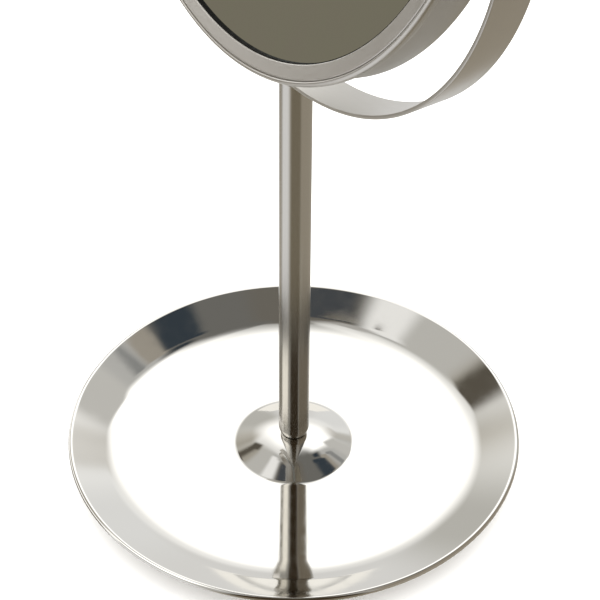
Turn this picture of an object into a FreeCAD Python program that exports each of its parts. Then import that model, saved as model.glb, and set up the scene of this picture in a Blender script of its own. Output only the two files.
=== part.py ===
"""Extendable shaving mirror on a tray foot: each physical piece is one solid (or one group of like solids).

Millimetres, +Z up. The origin is on the surface that the mirror stands on, at the middle of its foot.
The mirror's plain side faces -Y and tilts up; the head turns about X, the yoke turns about Z on the stem.
"""
import FreeCAD, Part
import math
import os

V = FreeCAD.Vector
X_AXIS, Y_AXIS, Z_AXIS = V(1, 0, 0), V(0, 1, 0), V(0, 0, 1)
CENTRE = V(0, 0, 0)

# ---------------------------------------------------------------- driving sizes
# Foot: a pressed tray with a raised middle, on a weight and a rubber pad
TRAY_R = 75.0                # outside radius of the rim
TRAY_RIM_Z = 12.0            # top of the rim
TRAY_BEAD_R = 1.0            # the rim's edge is rolled to a bead
TRAY_RIM_SLOPE = 24.7        # degrees
TRAY_BEND_R = 25.0           # inside radius of the bend from floor to rim
TRAY_FLOOR_Z = 4.75          # top of the floor at its lowest, where that bend starts
TRAY_CROWN_SLOPE = 3.0       # degrees; the floor rises this little towards the mound
TRAY_SHEET = 1.0
MOUND_FOOT_R = 5.0           # hollow radius between floor and mound
MOUND_SLOPE = 22.0           # degrees
MOUND_NOSE_R = 38.0          # round radius of its top
MOUND_TOP_Z = 10.45          # flat seat of the stem
MOUND_SEAT_R = 4.2
PAD_R, PAD_T = 57.0, 1.5
WEIGHT_R, WEIGHT_CHAMFER = 58.0, 0.8
WEIGHT_BOSS_R, WEIGHT_BOSS_TOP_R, WEIGHT_BOSS_EDGE_Z = 7.6, 3.9, 8.2
COUNTERBORE_R, COUNTERBORE_Z = 5.6, 7.3

# Stem: outer tube, foot plug, guide bush
STEM_R, STEM_WALL = 5.0, 0.75
STEM_TOP_Z = 151.4
STEM_FOOT_R, STEM_ROUND_H = 3.9, 3.0     # the lower end is spun in to this radius, over this height
FOOT_PLUG_TOP_Z = 29.5
BUSH_RECESS, BUSH_L = 0.2, 13.0
M5_R, M4_R = 2.5, 2.0
RUNNING = 0.06               # radial running clearance of the turning and sliding fits
FACE_GAP = 0.1               # end play between faces that turn against each other

# Inner tube and what is on it
INNER_R, INNER_WALL = 3.5, 0.75
INNER_BOTTOM_Z = 32.0
END_FLANGE_R, END_FLANGE_T = 4.05, 1.2
GLIDE_L = 14.4
CIRCLIP_T = 0.8
TOP_FLANGE_Z = 151.7         # underside of the flange that carries the yoke

# Yoke: a flat band bent to a half circle
YOKE_Z = 249.18              # height of its centre, which is the tilt axis
YOKE_R, YOKE_T, YOKE_W = 95.19, 1.2, 12.32
YOKE_EDGE_R = 0.25

# Head: two glasses in a round case
TILT_DEG = 12.31             # how far the plain side looks up at rest
CASE_R, CASE_WALL = 83.2, 0.8
BEAD_OUT_R, BEAD_ROUND, BEAD_LOW_N, BEAD_HIGH_N = 84.1, 1.15, 5.0, 5.9
BEAD_LIP_R, BEAD_LIP_ROUND = 82.6, 0.35
CASE_BACK_N, CASE_BACK_ROUND = 7.05, 0.35
BEZEL_IN_R, BEZEL_IN_N, BEZEL_OUT_N = 78.17, 6.45, 6.83
BEZEL_SHEET, BEZEL_ROUND, BEZEL_SKIRT_N = 0.55, 0.35, 3.6
GLASS_R, GLASS_T, GLASS_N = 81.0, 2.0, 5.35
MAGNIFIER_R = 620.0          # radius of curvature of the magnifying glass
GASKET_R, GASKET_OUT_R, GASKET_LIP_N = 77.9, 81.3, 6.15
BACKING_R, BACKING_T = 75.0, 0.9
CORE_IN_R, CORE_OUT_R = 76.0, 79.0

# Pivots of the head, one on each side
PIVOT_INSERT_R, PIVOT_INSERT_X = 2.9, 79.2
PIVOT_SPACER_R = 3.8
PIVOT_BUSH_R, PIVOT_FLANGE_R, PIVOT_FLANGE_X = 3.0, 4.5, 92.45
PIVOT_SPRING_T, PIVOT_SPRING_CONE = 0.4, 0.35
PIVOT_WASHER_T = 0.6
PIVOT_HEAD_R, PIVOT_HEAD_H = 4.3, 2.4
KEY_M4, KEY_M5 = 2.5, 4.0    # across flats of the hexagon sockets

YOKE_IN_R = YOKE_R - YOKE_T
BORE_R = STEM_R - STEM_WALL
INNER_BORE_R = INNER_R - INNER_WALL
GLIDE_BORE_R = INNER_R + RUNNING


# ---------------------------------------------------------------- shape helpers
class Outline:
    """A closed outline in the (radius, height) half plane, made of lines and arcs."""

    def __init__(self, r, z):
        self.start = self.here = V(r, 0, z)
        self.edges = []

    def line(self, r, z):
        target = V(r, 0, z)
        self.edges.append(Part.makeLine(self.here, target))
        self.here = target
        return self

    def arc(self, centre_r, centre_z, r, z, sign=1):
        """Goes to (r, z) round a centre, the short way; sign=-1 goes the long way."""
        centre, target = V(centre_r, 0, centre_z), V(r, 0, z)
        middle = (self.here - centre) + (target - centre)
        radius = (self.here - centre).Length
        through = centre + middle * (sign * radius / middle.Length)
        self.edges.append(Part.Arc(self.here, through, target).toShape())
        self.here = target
        return self

    def turned(self):
        """The solid of revolution about the Z axis."""
        if (self.here - self.start).Length > 1e-9:
            self.line(self.start.x, self.start.z)
        return Part.Face(Part.Wire(self.edges)).revolve(CENTRE, Z_AXIS, 360)


def rod(radius, low, high):
    return Part.makeCylinder(radius, high - low, V(0, 0, low))


def tube(outer, inner, low, high):
    return rod(outer, low, high).cut(rod(inner, low - 1, high + 1))


def hexagon(across_flats, low, high):
    radius = across_flats / math.sqrt(3)
    corners = [V(radius * math.cos(math.radians(60 * i)), radius * math.sin(math.radians(60 * i)), low)
               for i in range(7)]
    return Part.Face(Part.makePolygon(corners)).extrude(V(0, 0, high - low))


def socket_screw(radius, head_r, head_h, length, key):
    """A button-head screw along Z: its head sits on z=0 and its shank goes down."""
    dome_r = (head_r ** 2 + head_h ** 2) / (2 * head_h) * 1.15
    dome_centre = head_h - dome_r
    edge_z = dome_centre + math.sqrt(dome_r ** 2 - head_r ** 2)
    screw = (Outline(0, -length).line(radius - 0.3, -length).line(radius, -length + 0.3).line(radius, 0)
             .line(head_r, 0).line(head_r, edge_z).arc(0, dome_centre, 0, head_h).turned())
    return screw.cut(hexagon(key, head_h * 0.35, head_h + 1))


def split(ring, outer, low, high, width=0.8):
    """Cuts the slit of a split washer or sleeve, on the +Y side."""
    return ring.cut(Part.makeBox(width, outer + 1, high - low + 2, V(-width / 2, 0, low - 1)))


def yoke_round(radius):
    """The solid cylinder of that radius about the tilt axis's middle, along Y, for saddle faces."""
    return Part.makeCylinder(radius, 60, V(0, -30, YOKE_Z), Y_AXIS)


def along_x(shape):
    """Lays a shape made along Z on the tilt axis, so that its z becomes x."""
    laid = shape.copy()
    laid.rotate(CENTRE, Y_AXIS, 90)
    laid.translate(V(0, 0, YOKE_Z))
    return laid


def both_sides(shape):
    """The shape on the +X side and its mirror image on the -X side."""
    return Part.makeCompound([shape, shape.mirror(CENTRE, X_AXIS)])


def head_pose(shape):
    """Stands a shape of the head up: made about Z with the plain side up, it ends tilted at the yoke."""
    stood = shape.copy()
    stood.rotate(CENTRE, X_AXIS, 90 - TILT_DEG)
    stood.translate(V(0, 0, YOKE_Z))
    return stood


# ---------------------------------------------------------------- foot
def tray_centres():
    """The centres of the tray's arcs: (nose), (mound's foot), (crowned floor), (bend) and (bead)."""
    rim, mound, crown = (math.radians(a) for a in (TRAY_RIM_SLOPE, MOUND_SLOPE, TRAY_CROWN_SLOPE))
    bead = (TRAY_R - TRAY_BEAD_R, TRAY_RIM_Z - TRAY_BEAD_R)
    # The rim is a cone that touches the bead from above and the bend from below
    rim_offset = math.cos(rim) * bead[1] - math.sin(rim) * bead[0] + TRAY_BEAD_R
    bend_z = TRAY_FLOOR_Z + TRAY_BEND_R
    low_r = (math.cos(rim) * bend_z - rim_offset - TRAY_BEND_R) / math.sin(rim)
    nose_z = MOUND_TOP_Z - math.sqrt(MOUND_NOSE_R ** 2 - MOUND_SEAT_R ** 2)
    # The mound is a cone that touches the nose from above and its hollow foot from below, and the
    # crowned floor joins that foot to the floor's lowest ring
    mound_offset = math.cos(mound) * nose_z + MOUND_NOSE_R
    reach = mound_offset + MOUND_FOOT_R - math.sin(mound) * (low_r + MOUND_FOOT_R * math.sin(crown))
    reach -= math.cos(mound) * (TRAY_FLOOR_Z + MOUND_FOOT_R * math.cos(crown))
    crown_r = reach / (math.cos(mound) * (1 - math.cos(crown)) - math.sin(mound) * math.sin(crown))
    step = crown_r - MOUND_FOOT_R
    foot = (low_r - step * math.sin(crown), TRAY_FLOOR_Z + crown_r - step * math.cos(crown))
    return (0, nose_z), foot, (low_r, TRAY_FLOOR_Z + crown_r), (low_r, bend_z), bead


def on_arc(centre, radius, slope_deg):
    """The point of an arc where it slopes by an angle; radius is negative for a hollow arc."""
    slope = math.radians(slope_deg)
    return centre[0] - radius * math.sin(slope), centre[1] + radius * math.cos(slope)


def base_dish():
    """One sheet pressing: seat, mound, crowned floor, bend, and a sloping rim that ends in a bead."""
    nose, foot, crown, bend, bead = tray_centres()
    crown_r = crown[1] - TRAY_FLOOR_Z
    seat_under_z = MOUND_TOP_Z - TRAY_SHEET
    seat_under_r = math.sqrt((MOUND_NOSE_R - TRAY_SHEET) ** 2 - (seat_under_z - nose[1]) ** 2)
    outline = Outline(M5_R + 0.1, MOUND_TOP_Z).line(MOUND_SEAT_R, MOUND_TOP_Z)
    outline.arc(*nose, *on_arc(nose, MOUND_NOSE_R, -MOUND_SLOPE))
    outline.line(*on_arc(foot, -MOUND_FOOT_R, -MOUND_SLOPE))
    outline.arc(*foot, *on_arc(foot, -MOUND_FOOT_R, -TRAY_CROWN_SLOPE))
    outline.arc(*crown, *on_arc(crown, -crown_r, 0))
    outline.arc(*bend, *on_arc(bend, -TRAY_BEND_R, TRAY_RIM_SLOPE))
    outline.line(*on_arc(bead, TRAY_BEAD_R, TRAY_RIM_SLOPE))
    outline.arc(*bead, *on_arc(bead, TRAY_BEAD_R, -90)).arc(*bead, *on_arc(bead, TRAY_BEAD_R, -180))
    outline.arc(*bead, *on_arc(bead, TRAY_BEAD_R, 90 + TRAY_RIM_SLOPE))
    outline.line(*on_arc(bend, -TRAY_BEND_R - TRAY_SHEET, TRAY_RIM_SLOPE))
    outline.arc(*bend, *on_arc(bend, -TRAY_BEND_R - TRAY_SHEET, 0))
    outline.arc(*crown, *on_arc(crown, -crown_r - TRAY_SHEET, -TRAY_CROWN_SLOPE))
    outline.arc(*foot, *on_arc(foot, -MOUND_FOOT_R - TRAY_SHEET, -MOUND_SLOPE))
    outline.line(*on_arc(nose, MOUND_NOSE_R - TRAY_SHEET, -MOUND_SLOPE))
    outline.arc(*nose, seat_under_r, seat_under_z).line(M5_R + 0.1, seat_under_z)
    return outline.turned()


def base_weight():
    """A steel disc under the floor; its boss fills the raised middle and takes the bolt's pull."""
    top = TRAY_FLOOR_Z - TRAY_SHEET
    outline = Outline(COUNTERBORE_R, PAD_T).line(WEIGHT_R - WEIGHT_CHAMFER, PAD_T)
    outline.line(WEIGHT_R, PAD_T + WEIGHT_CHAMFER).line(WEIGHT_R, top)
    outline.line(WEIGHT_BOSS_R, top).line(WEIGHT_BOSS_R, WEIGHT_BOSS_EDGE_Z)
    outline.line(WEIGHT_BOSS_TOP_R, MOUND_TOP_Z - TRAY_SHEET).line(M5_R + 0.2, MOUND_TOP_Z - TRAY_SHEET)
    outline.line(M5_R + 0.2, COUNTERBORE_Z).line(COUNTERBORE_R, COUNTERBORE_Z)
    return outline.turned()


def base_pad():
    outline = Outline(0, 0).line(PAD_R - 0.3, 0).line(PAD_R, 0.3).line(PAD_R, PAD_T).line(0, PAD_T)
    return outline.turned()


def stem_fastening():
    """The bolt that pulls weight, tray and stem together from below, and its two washers."""
    flat_t, spring_t = 1.0, 1.2
    flat_z = COUNTERBORE_Z - flat_t
    spring_z = flat_z - spring_t
    bolt = socket_screw(M5_R, 4.4, 2.8, 19.0, KEY_M5)
    bolt.rotate(CENTRE, X_AXIS, 180)
    bolt.translate(V(0, 0, spring_z))
    return {
        "stem_bolt": bolt,
        "stem_bolt_washer": tube(5.2, M5_R + 0.2, flat_z, COUNTERBORE_Z),
        "stem_bolt_spring_washer": split(tube(4.6, M5_R + 0.1, spring_z, flat_z), 4.6, spring_z, flat_z),
    }


# ---------------------------------------------------------------- stem
def spun_end(outline, radius, foot_radius, downwards):
    """Adds the spun-in end: a quarter-ellipse-like arc between the tube's wall and its foot."""
    run = radius - foot_radius
    arc_r = (run ** 2 + STEM_ROUND_H ** 2) / (2 * run)
    start = (radius, MOUND_TOP_Z + STEM_ROUND_H) if downwards else (foot_radius, MOUND_TOP_Z)
    end = (foot_radius, MOUND_TOP_Z) if downwards else (radius, MOUND_TOP_Z + STEM_ROUND_H)
    outline.line(*start)
    return outline.arc(radius - arc_r, MOUND_TOP_Z + STEM_ROUND_H, *end)


def stem_tube():
    outline = Outline(STEM_R - 0.15, STEM_TOP_Z).line(STEM_R, STEM_TOP_Z - 0.15)
    spun_end(outline, STEM_R, STEM_FOOT_R, True)
    spun_end(outline, BORE_R, STEM_FOOT_R - STEM_WALL, False)
    return outline.line(BORE_R, STEM_TOP_Z).turned()


def stem_foot_plug():
    """A steel plug pressed into the stem's foot, threaded for the bolt."""
    outline = Outline(M5_R, MOUND_TOP_Z)
    spun_end(outline, BORE_R, STEM_FOOT_R - STEM_WALL, False)
    outline.line(BORE_R, FOOT_PLUG_TOP_Z - 0.5).line(BORE_R - 0.5, FOOT_PLUG_TOP_Z)
    return outline.line(M5_R, FOOT_PLUG_TOP_Z).turned()


def guide_bush():
    """A plastic bush pressed into the mouth of the stem; the inner tube slides and turns in it."""
    return tube(BORE_R, GLIDE_BORE_R, STEM_TOP_Z - BUSH_L, STEM_TOP_Z - BUSH_RECESS)


def friction_glide():
    """A split sleeve round the foot of the inner tube; it grips the stem's bore."""
    low = INNER_BOTTOM_Z + FACE_GAP
    high = low + GLIDE_L
    return split(tube(BORE_R - RUNNING, GLIDE_BORE_R, low, high), STEM_R, low, high)


def inner_tube_parts():
    """The inner tube, the plug and ring that keep the glide on it, and the plug that carries the yoke."""
    tube_top = TOP_FLANGE_Z
    plug_low = INNER_BOTTOM_Z - END_FLANGE_T
    lower_plug = Outline(0, plug_low).line(END_FLANGE_R, plug_low).line(END_FLANGE_R, INNER_BOTTOM_Z)
    lower_plug.line(INNER_BORE_R, INNER_BOTTOM_Z).line(INNER_BORE_R, INNER_BOTTOM_Z + 8)
    lower_plug.line(0, INNER_BOTTOM_Z + 8)
    ring_low = INNER_BOTTOM_Z + GLIDE_L + 2 * FACE_GAP
    ring = tube(END_FLANGE_R, INNER_R, ring_low, ring_low + CIRCLIP_T)
    top_plug = rod(STEM_R, TOP_FLANGE_Z, TOP_FLANGE_Z + 4).cut(yoke_round(YOKE_R))
    top_plug = top_plug.fuse(rod(INNER_BORE_R, TOP_FLANGE_Z - 13, TOP_FLANGE_Z)).removeSplitter()
    top_plug = top_plug.cut(rod(M4_R, TOP_FLANGE_Z - 11, TOP_FLANGE_Z + 5))
    return {
        "inner_tube": tube(INNER_R, INNER_BORE_R, INNER_BOTTOM_Z, tube_top),
        "inner_tube_end_plug": lower_plug.turned(),
        "glide_retaining_ring": split(ring, END_FLANGE_R, ring_low, ring_low + CIRCLIP_T, 2.0),
        "inner_tube_top_plug": top_plug,
    }


# ---------------------------------------------------------------- yoke
def yoke():
    """The flat band: half a circle from pivot to pivot, then short straight tips with round ends."""
    r, half = YOKE_EDGE_R, YOKE_W / 2
    section = Part.makeBox(YOKE_T, YOKE_W, 1, V(YOKE_IN_R, -half, YOKE_Z))
    section = section.makeFillet(r, [e for e in section.Edges if abs(e.tangentAt(e.FirstParameter).z) > 0.9])
    face = next(f for f in section.Faces if f.normalAt(0, 0).z < -0.9)
    bend = face.revolve(V(0, 0, YOKE_Z), Y_AXIS, 180)
    tip = face.extrude(V(0, 0, half)).common(Part.makeCylinder(half, YOKE_R + 1, V(0, 0, YOKE_Z), X_AXIS))
    band = bend.fuse([tip, tip.mirror(CENTRE, X_AXIS)]).removeSplitter()
    band = band.cut(Part.makeCylinder(PIVOT_BUSH_R, 2 * YOKE_R + 2, V(-YOKE_R - 1, 0, YOKE_Z), X_AXIS))
    return band.cut(rod(M4_R + 0.2, YOKE_Z - YOKE_R - 1, YOKE_Z - YOKE_IN_R + 1))


def yoke_fastening():
    """The screw and the saddle washer that hold the yoke down on the stem, inside the band."""
    seat = YOKE_Z - YOKE_IN_R + 1.0
    washer = tube(5.0, M4_R + 0.2, YOKE_Z - YOKE_IN_R - 1, seat).common(yoke_round(YOKE_IN_R))
    screw = socket_screw(M4_R, 3.8, 2.2, seat - TOP_FLANGE_Z + 9, KEY_M4)
    screw.translate(V(0, 0, seat))
    return {"yoke_saddle_washer": washer, "yoke_screw": screw}


# ---------------------------------------------------------------- head
def case_band():
    """The rolled band: a plain wall, a rounded bead round its front edge, and the two pivot holes."""
    inner = CASE_R - CASE_WALL
    bead_r = BEAD_OUT_R - BEAD_ROUND
    joint_n = BEAD_LOW_N - math.sqrt(BEAD_ROUND ** 2 - (CASE_R - bead_r) ** 2)
    crest_n = BEAD_HIGH_N + BEAD_ROUND
    lip_n = crest_n - BEAD_LIP_ROUND
    back_r, back_n = CASE_R - CASE_BACK_ROUND, CASE_BACK_ROUND - CASE_BACK_N
    outline = Outline(inner, -CASE_BACK_N).line(inner, lip_n - 0.4).line(BEAD_LIP_R, lip_n - 0.2)
    outline.line(BEAD_LIP_R, lip_n).arc(bead_r, lip_n, bead_r, crest_n)
    outline.arc(bead_r, BEAD_HIGH_N, BEAD_OUT_R, BEAD_HIGH_N).line(BEAD_OUT_R, BEAD_LOW_N)
    outline.arc(bead_r, BEAD_LOW_N, CASE_R, joint_n)
    outline.line(CASE_R, back_n).arc(back_r, back_n, back_r, -CASE_BACK_N)
    return outline.turned().cut(Part.makeCylinder(M4_R, 2 * BEAD_OUT_R + 2, V(-BEAD_OUT_R - 1, 0, 0), X_AXIS))


def bezel():
    """A pressed ring: a gently dished face that holds the glass in, and a skirt pressed into the case."""
    outer = CASE_R - CASE_WALL
    skirt_in = outer - BEZEL_SHEET
    round_r, round_n = outer - BEZEL_ROUND, BEZEL_OUT_N - BEZEL_ROUND
    edge = 0.25
    outline = Outline(outer, BEZEL_SKIRT_N).line(outer, round_n).arc(round_r, round_n, round_r, BEZEL_OUT_N)
    outline.line(BEZEL_IN_R + edge, BEZEL_IN_N).arc(BEZEL_IN_R + edge, BEZEL_IN_N - edge,
                                                     BEZEL_IN_R, BEZEL_IN_N - edge)
    outline.line(BEZEL_IN_R, BEZEL_IN_N - BEZEL_SHEET).line(skirt_in - 0.3, BEZEL_OUT_N - BEZEL_SHEET)
    return outline.line(skirt_in, BEZEL_OUT_N - BEZEL_SHEET - 0.3).line(skirt_in, BEZEL_SKIRT_N).turned()


def gasket(bottom_n):
    """A rubber ring between bezel and glass, with a lip that lines the bezel's inner edge."""
    under_bezel = BEZEL_IN_N - BEZEL_SHEET
    outline = Outline(GASKET_R, bottom_n).line(GASKET_OUT_R, bottom_n).line(GASKET_OUT_R, under_bezel)
    outline.line(BEZEL_IN_R, under_bezel).line(BEZEL_IN_R, GASKET_LIP_N)
    return outline.line(GASKET_R, GASKET_LIP_N).turned()


def plain_glass():
    bottom, edge = GLASS_N - GLASS_T, 0.2
    outline = Outline(0, bottom).line(GLASS_R - edge, bottom).line(GLASS_R, bottom + edge)
    return outline.line(GLASS_R, GLASS_N - edge).line(GLASS_R - edge, GLASS_N).line(0, GLASS_N).turned()


def magnifying_glass():
    """A glass of even thickness, hollow towards the back of the head."""
    centre = -GLASS_N - math.sqrt(MAGNIFIER_R ** 2 - GLASS_R ** 2)
    back_r = MAGNIFIER_R + GLASS_T
    back_n = centre + math.sqrt(back_r ** 2 - GLASS_R ** 2)
    outline = Outline(0, centre + MAGNIFIER_R).arc(0, centre, GLASS_R, -GLASS_N).line(GLASS_R, back_n)
    return outline.arc(0, centre, 0, centre + back_r).turned()


def head_parts():
    """Everything inside the case, stacked from the plain side to the magnifying side."""
    front_glass, rear_glass = plain_glass(), magnifying_glass()
    front_bezel = bezel()
    rear_bezel = front_bezel.mirror(CENTRE, Z_AXIS)
    rear_gasket = gasket(GLASS_N - 1).mirror(CENTRE, Z_AXIS).cut(rear_glass)
    rear_gasket = max(rear_gasket.Solids, key=lambda piece: -piece.CenterOfMass.z)
    glass_back = GLASS_N - GLASS_T
    core = tube(CORE_OUT_R, CORE_IN_R, -glass_back, glass_back).cut(rear_glass)
    core = max(core.Solids, key=lambda piece: piece.Volume)
    pieces = {
        "case_band": case_band(),
        "front_bezel": front_bezel,
        "rear_bezel": rear_bezel,
        "front_glass": front_glass,
        "rear_magnifying_glass": rear_glass,
        "front_gasket": gasket(GLASS_N),
        "rear_gasket": rear_gasket,
        "glass_backing_disc": rod(BACKING_R, glass_back - BACKING_T, glass_back),
        "case_core_ring": core,
    }
    return {name: head_pose(piece) for name, piece in pieces.items()}


# ---------------------------------------------------------------- pivots
def case_round(radius):
    """The solid disc of the head at rest, for the saddle faces of the pivot pieces."""
    return head_pose(rod(radius, -20, 20))


def pivot_parts():
    """Insert, spacer, cone spring, bush, washer and screw of the two pivots."""
    spring_x = PIVOT_FLANGE_X - FACE_GAP / 2
    spacer_end = spring_x - PIVOT_SPRING_T - PIVOT_SPRING_CONE
    insert = along_x(tube(PIVOT_INSERT_R, M4_R, PIVOT_INSERT_X, CASE_R))
    insert = insert.common(case_round(CASE_R - CASE_WALL))
    spacer = Outline(M4_R, CASE_R - 1).line(PIVOT_SPACER_R, CASE_R - 1).line(PIVOT_SPACER_R, spacer_end - 0.3)
    spacer.line(PIVOT_SPACER_R - 0.3, spacer_end).line(M4_R, spacer_end)
    spring = Outline(M4_R + 0.1, spacer_end + PIVOT_SPRING_CONE)
    spring.line(PIVOT_SPACER_R, spacer_end).line(PIVOT_SPACER_R, spacer_end + PIVOT_SPRING_T)
    spring.line(M4_R + 0.1, spring_x)
    bush = Outline(M4_R + RUNNING, PIVOT_FLANGE_X).line(PIVOT_FLANGE_R, PIVOT_FLANGE_X)
    bush.line(PIVOT_FLANGE_R, YOKE_IN_R).line(PIVOT_BUSH_R, YOKE_IN_R)
    bush.line(PIVOT_BUSH_R, YOKE_R + PIVOT_WASHER_T * 0.7).line(M4_R + RUNNING, YOKE_R + PIVOT_WASHER_T * 0.7)
    washer = tube(PIVOT_FLANGE_R, PIVOT_BUSH_R, YOKE_R, YOKE_R + PIVOT_WASHER_T)
    head_x = YOKE_R + PIVOT_WASHER_T + FACE_GAP / 2
    screw = socket_screw(M4_R, PIVOT_HEAD_R, PIVOT_HEAD_H, head_x - PIVOT_INSERT_X, KEY_M4)
    screw.translate(V(0, 0, head_x))
    pieces = {
        "pivot_inserts": insert,
        "pivot_spacers": along_x(spacer.turned()).cut(case_round(CASE_R)),
        "pivot_cone_springs": along_x(spring.turned()),
        "pivot_bushes": along_x(bush.turned()).cut(band_room()),
        "pivot_washers": along_x(washer),
        "pivot_screws": along_x(screw),
    }
    return {name: both_sides(piece) for name, piece in pieces.items()}


def band_room():
    """The room that the yoke's band takes near a pivot, outside the hole of the bush."""
    ring = Part.makeCylinder(YOKE_R, 60, V(0, -30, YOKE_Z), Y_AXIS)
    ring = ring.cut(Part.makeCylinder(YOKE_IN_R, 60, V(0, -30, YOKE_Z), Y_AXIS))
    return ring.cut(Part.makeCylinder(PIVOT_BUSH_R, YOKE_R + 1, V(0, 0, YOKE_Z), X_AXIS))


def main():
    pieces = {
        "base_dish": base_dish(),
        "base_weight": base_weight(),
        "base_pad": base_pad(),
        "stem_tube": stem_tube(),
        "stem_foot_plug": stem_foot_plug(),
        "guide_bush": guide_bush(),
        "friction_glide": friction_glide(),
        "yoke": yoke(),
    }
    for group in (stem_fastening(), inner_tube_parts(), yoke_fastening(), head_parts(), pivot_parts()):
        pieces.update(group)
    os.makedirs("parts", exist_ok=True)
    for name, shape in sorted(pieces.items()):
        shape.exportStep(f"parts/{name}.step")
        box = shape.BoundBox
        print(f"{name:26s} solids {len(shape.Solids)} valid {shape.isValid()} volume {shape.Volume:10.1f}"
              f"  x {box.XMin:7.2f} {box.XMax:7.2f}  y {box.YMin:7.2f} {box.YMax:7.2f}"
              f"  z {box.ZMin:7.2f} {box.ZMax:7.2f}")
    print(len(pieces), "pieces")


main()
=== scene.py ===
"""Looks of an extendable shaving mirror: a two-sided head in a yoke, on a telescopic stem and a tray foot."""
import logging
import math
from dataclasses import dataclass, field
from enum import Enum
from typing import Any, Callable

import bmesh
import bpy
from mathutils import Matrix, Vector


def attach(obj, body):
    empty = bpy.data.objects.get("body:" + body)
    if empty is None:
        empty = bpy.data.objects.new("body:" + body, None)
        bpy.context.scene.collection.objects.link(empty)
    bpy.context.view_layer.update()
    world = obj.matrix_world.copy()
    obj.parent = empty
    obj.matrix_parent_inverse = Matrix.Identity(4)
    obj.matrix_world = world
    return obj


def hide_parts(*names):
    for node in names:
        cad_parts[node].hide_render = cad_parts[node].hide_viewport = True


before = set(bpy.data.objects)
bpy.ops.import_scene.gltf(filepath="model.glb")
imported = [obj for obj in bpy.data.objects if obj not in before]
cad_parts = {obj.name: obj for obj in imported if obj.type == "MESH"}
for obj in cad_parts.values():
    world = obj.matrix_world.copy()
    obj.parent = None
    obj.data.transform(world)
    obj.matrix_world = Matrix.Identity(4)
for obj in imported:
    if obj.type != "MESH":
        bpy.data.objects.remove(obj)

LOG = logging.getLogger("shaving_mirror")
MM = 0.001
TURN = 2 * math.pi
ON_AXIS = 1e-6           # a radius under this lies on the axis
CLEAR = 0.01             # what keeps faces that meet apart, in millimetres
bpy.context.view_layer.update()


# ---------------------------------------------------------------- small tools
def linear(colour: str) -> tuple[float, float, float, float]:
    """Turns an sRGB hex colour into linear light.

    Args:
        colour: Six hex digits, such as "c8c4bc".

    Returns:
        Linear red, green and blue, and an alpha of 1.
    """
    parts = [int(colour[i:i + 2], 16) / 255 for i in (0, 2, 4)]
    light = [p / 12.92 if p <= 0.04045 else ((p + 0.055) / 1.055) ** 2.4 for p in parts]
    return (*light, 1.0)


def add_node(tree: bpy.types.NodeTree, kind: str, inputs: dict[Any, Any] | None = None,
             **settings: Any) -> bpy.types.Node:
    """Adds a node, gives it its settings, and fills or links its inputs.

    Args:
        tree: The node tree to add to.
        kind: The node's type name.
        inputs: Socket name or number to a value, or to the output socket or the node that feeds it.
        settings: Attributes of the node itself.

    Returns:
        The new node.
    """
    node = tree.nodes.new(kind)
    for name, value in settings.items():
        setattr(node, name, value)
    for key, value in (inputs or {}).items():
        if isinstance(value, bpy.types.Node):
            value = value.outputs[0]
        if isinstance(value, bpy.types.NodeSocket):
            tree.links.new(value, node.inputs[key])
        else:
            node.inputs[key].default_value = value
    return node


class Brushing(Enum):
    """Which way the lines of a brushed surface run on a turned piece."""

    AROUND = 0.25
    ALONG = 0.0


# ---------------------------------------------------------------- finishes
@dataclass(frozen=True)
class Finish:
    """One surface finish. Each kind of finish fills in its own shader."""

    name: str
    colour: str
    slot: str

    def material(self) -> bpy.types.Material:
        """Returns the finish's material, which is made once and then shared."""
        found = bpy.data.materials.get(self.name)
        if found is None:
            found = bpy.data.materials.new(self.name)
            found.use_nodes = True
            tree = found.node_tree
            tree.nodes.clear()
            surface = {"Base Color": linear(self.colour), **self.surface(tree)}
            shader = add_node(tree, "ShaderNodeBsdfPrincipled", surface)
            add_node(tree, "ShaderNodeOutputMaterial", {"Surface": shader})
        return found

    def surface(self, tree: bpy.types.NodeTree) -> dict[str, Any]:
        """Adds the finish's patterns to its tree.

        Args:
            tree: The material's node tree.

        Returns:
            Shader socket name to its value, or to the pattern that feeds it.
        """
        raise NotImplementedError


def millimetres(tree: bpy.types.NodeTree, size: float,
                stretch: tuple[float, float, float] = (1, 1, 1)) -> bpy.types.Node:
    """Makes pattern coordinates on a piece, in which one unit is a real length.

    Args:
        tree: The material's node tree.
        size: That length in millimetres.
        stretch: How much longer than that the pattern is along X, Y and Z.

    Returns:
        The node that gives the coordinates.
    """
    place = add_node(tree, "ShaderNodeTexCoord")
    scale = [1 / (size * MM * s) for s in stretch]
    return add_node(tree, "ShaderNodeMapping", {"Vector": place.outputs["Object"], "Scale": scale})


def spread(tree: bpy.types.NodeTree, noise: bpy.types.Node, low: float, high: float) -> bpy.types.Node:
    """Spreads a noise's value, which lies mostly from 0.3 to 0.7, over a range."""
    return add_node(tree, "ShaderNodeMapRange", {"Value": noise.outputs["Fac"], "From Min": 0.3,
                                                 "From Max": 0.7, "To Min": low, "To Max": high})


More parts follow.
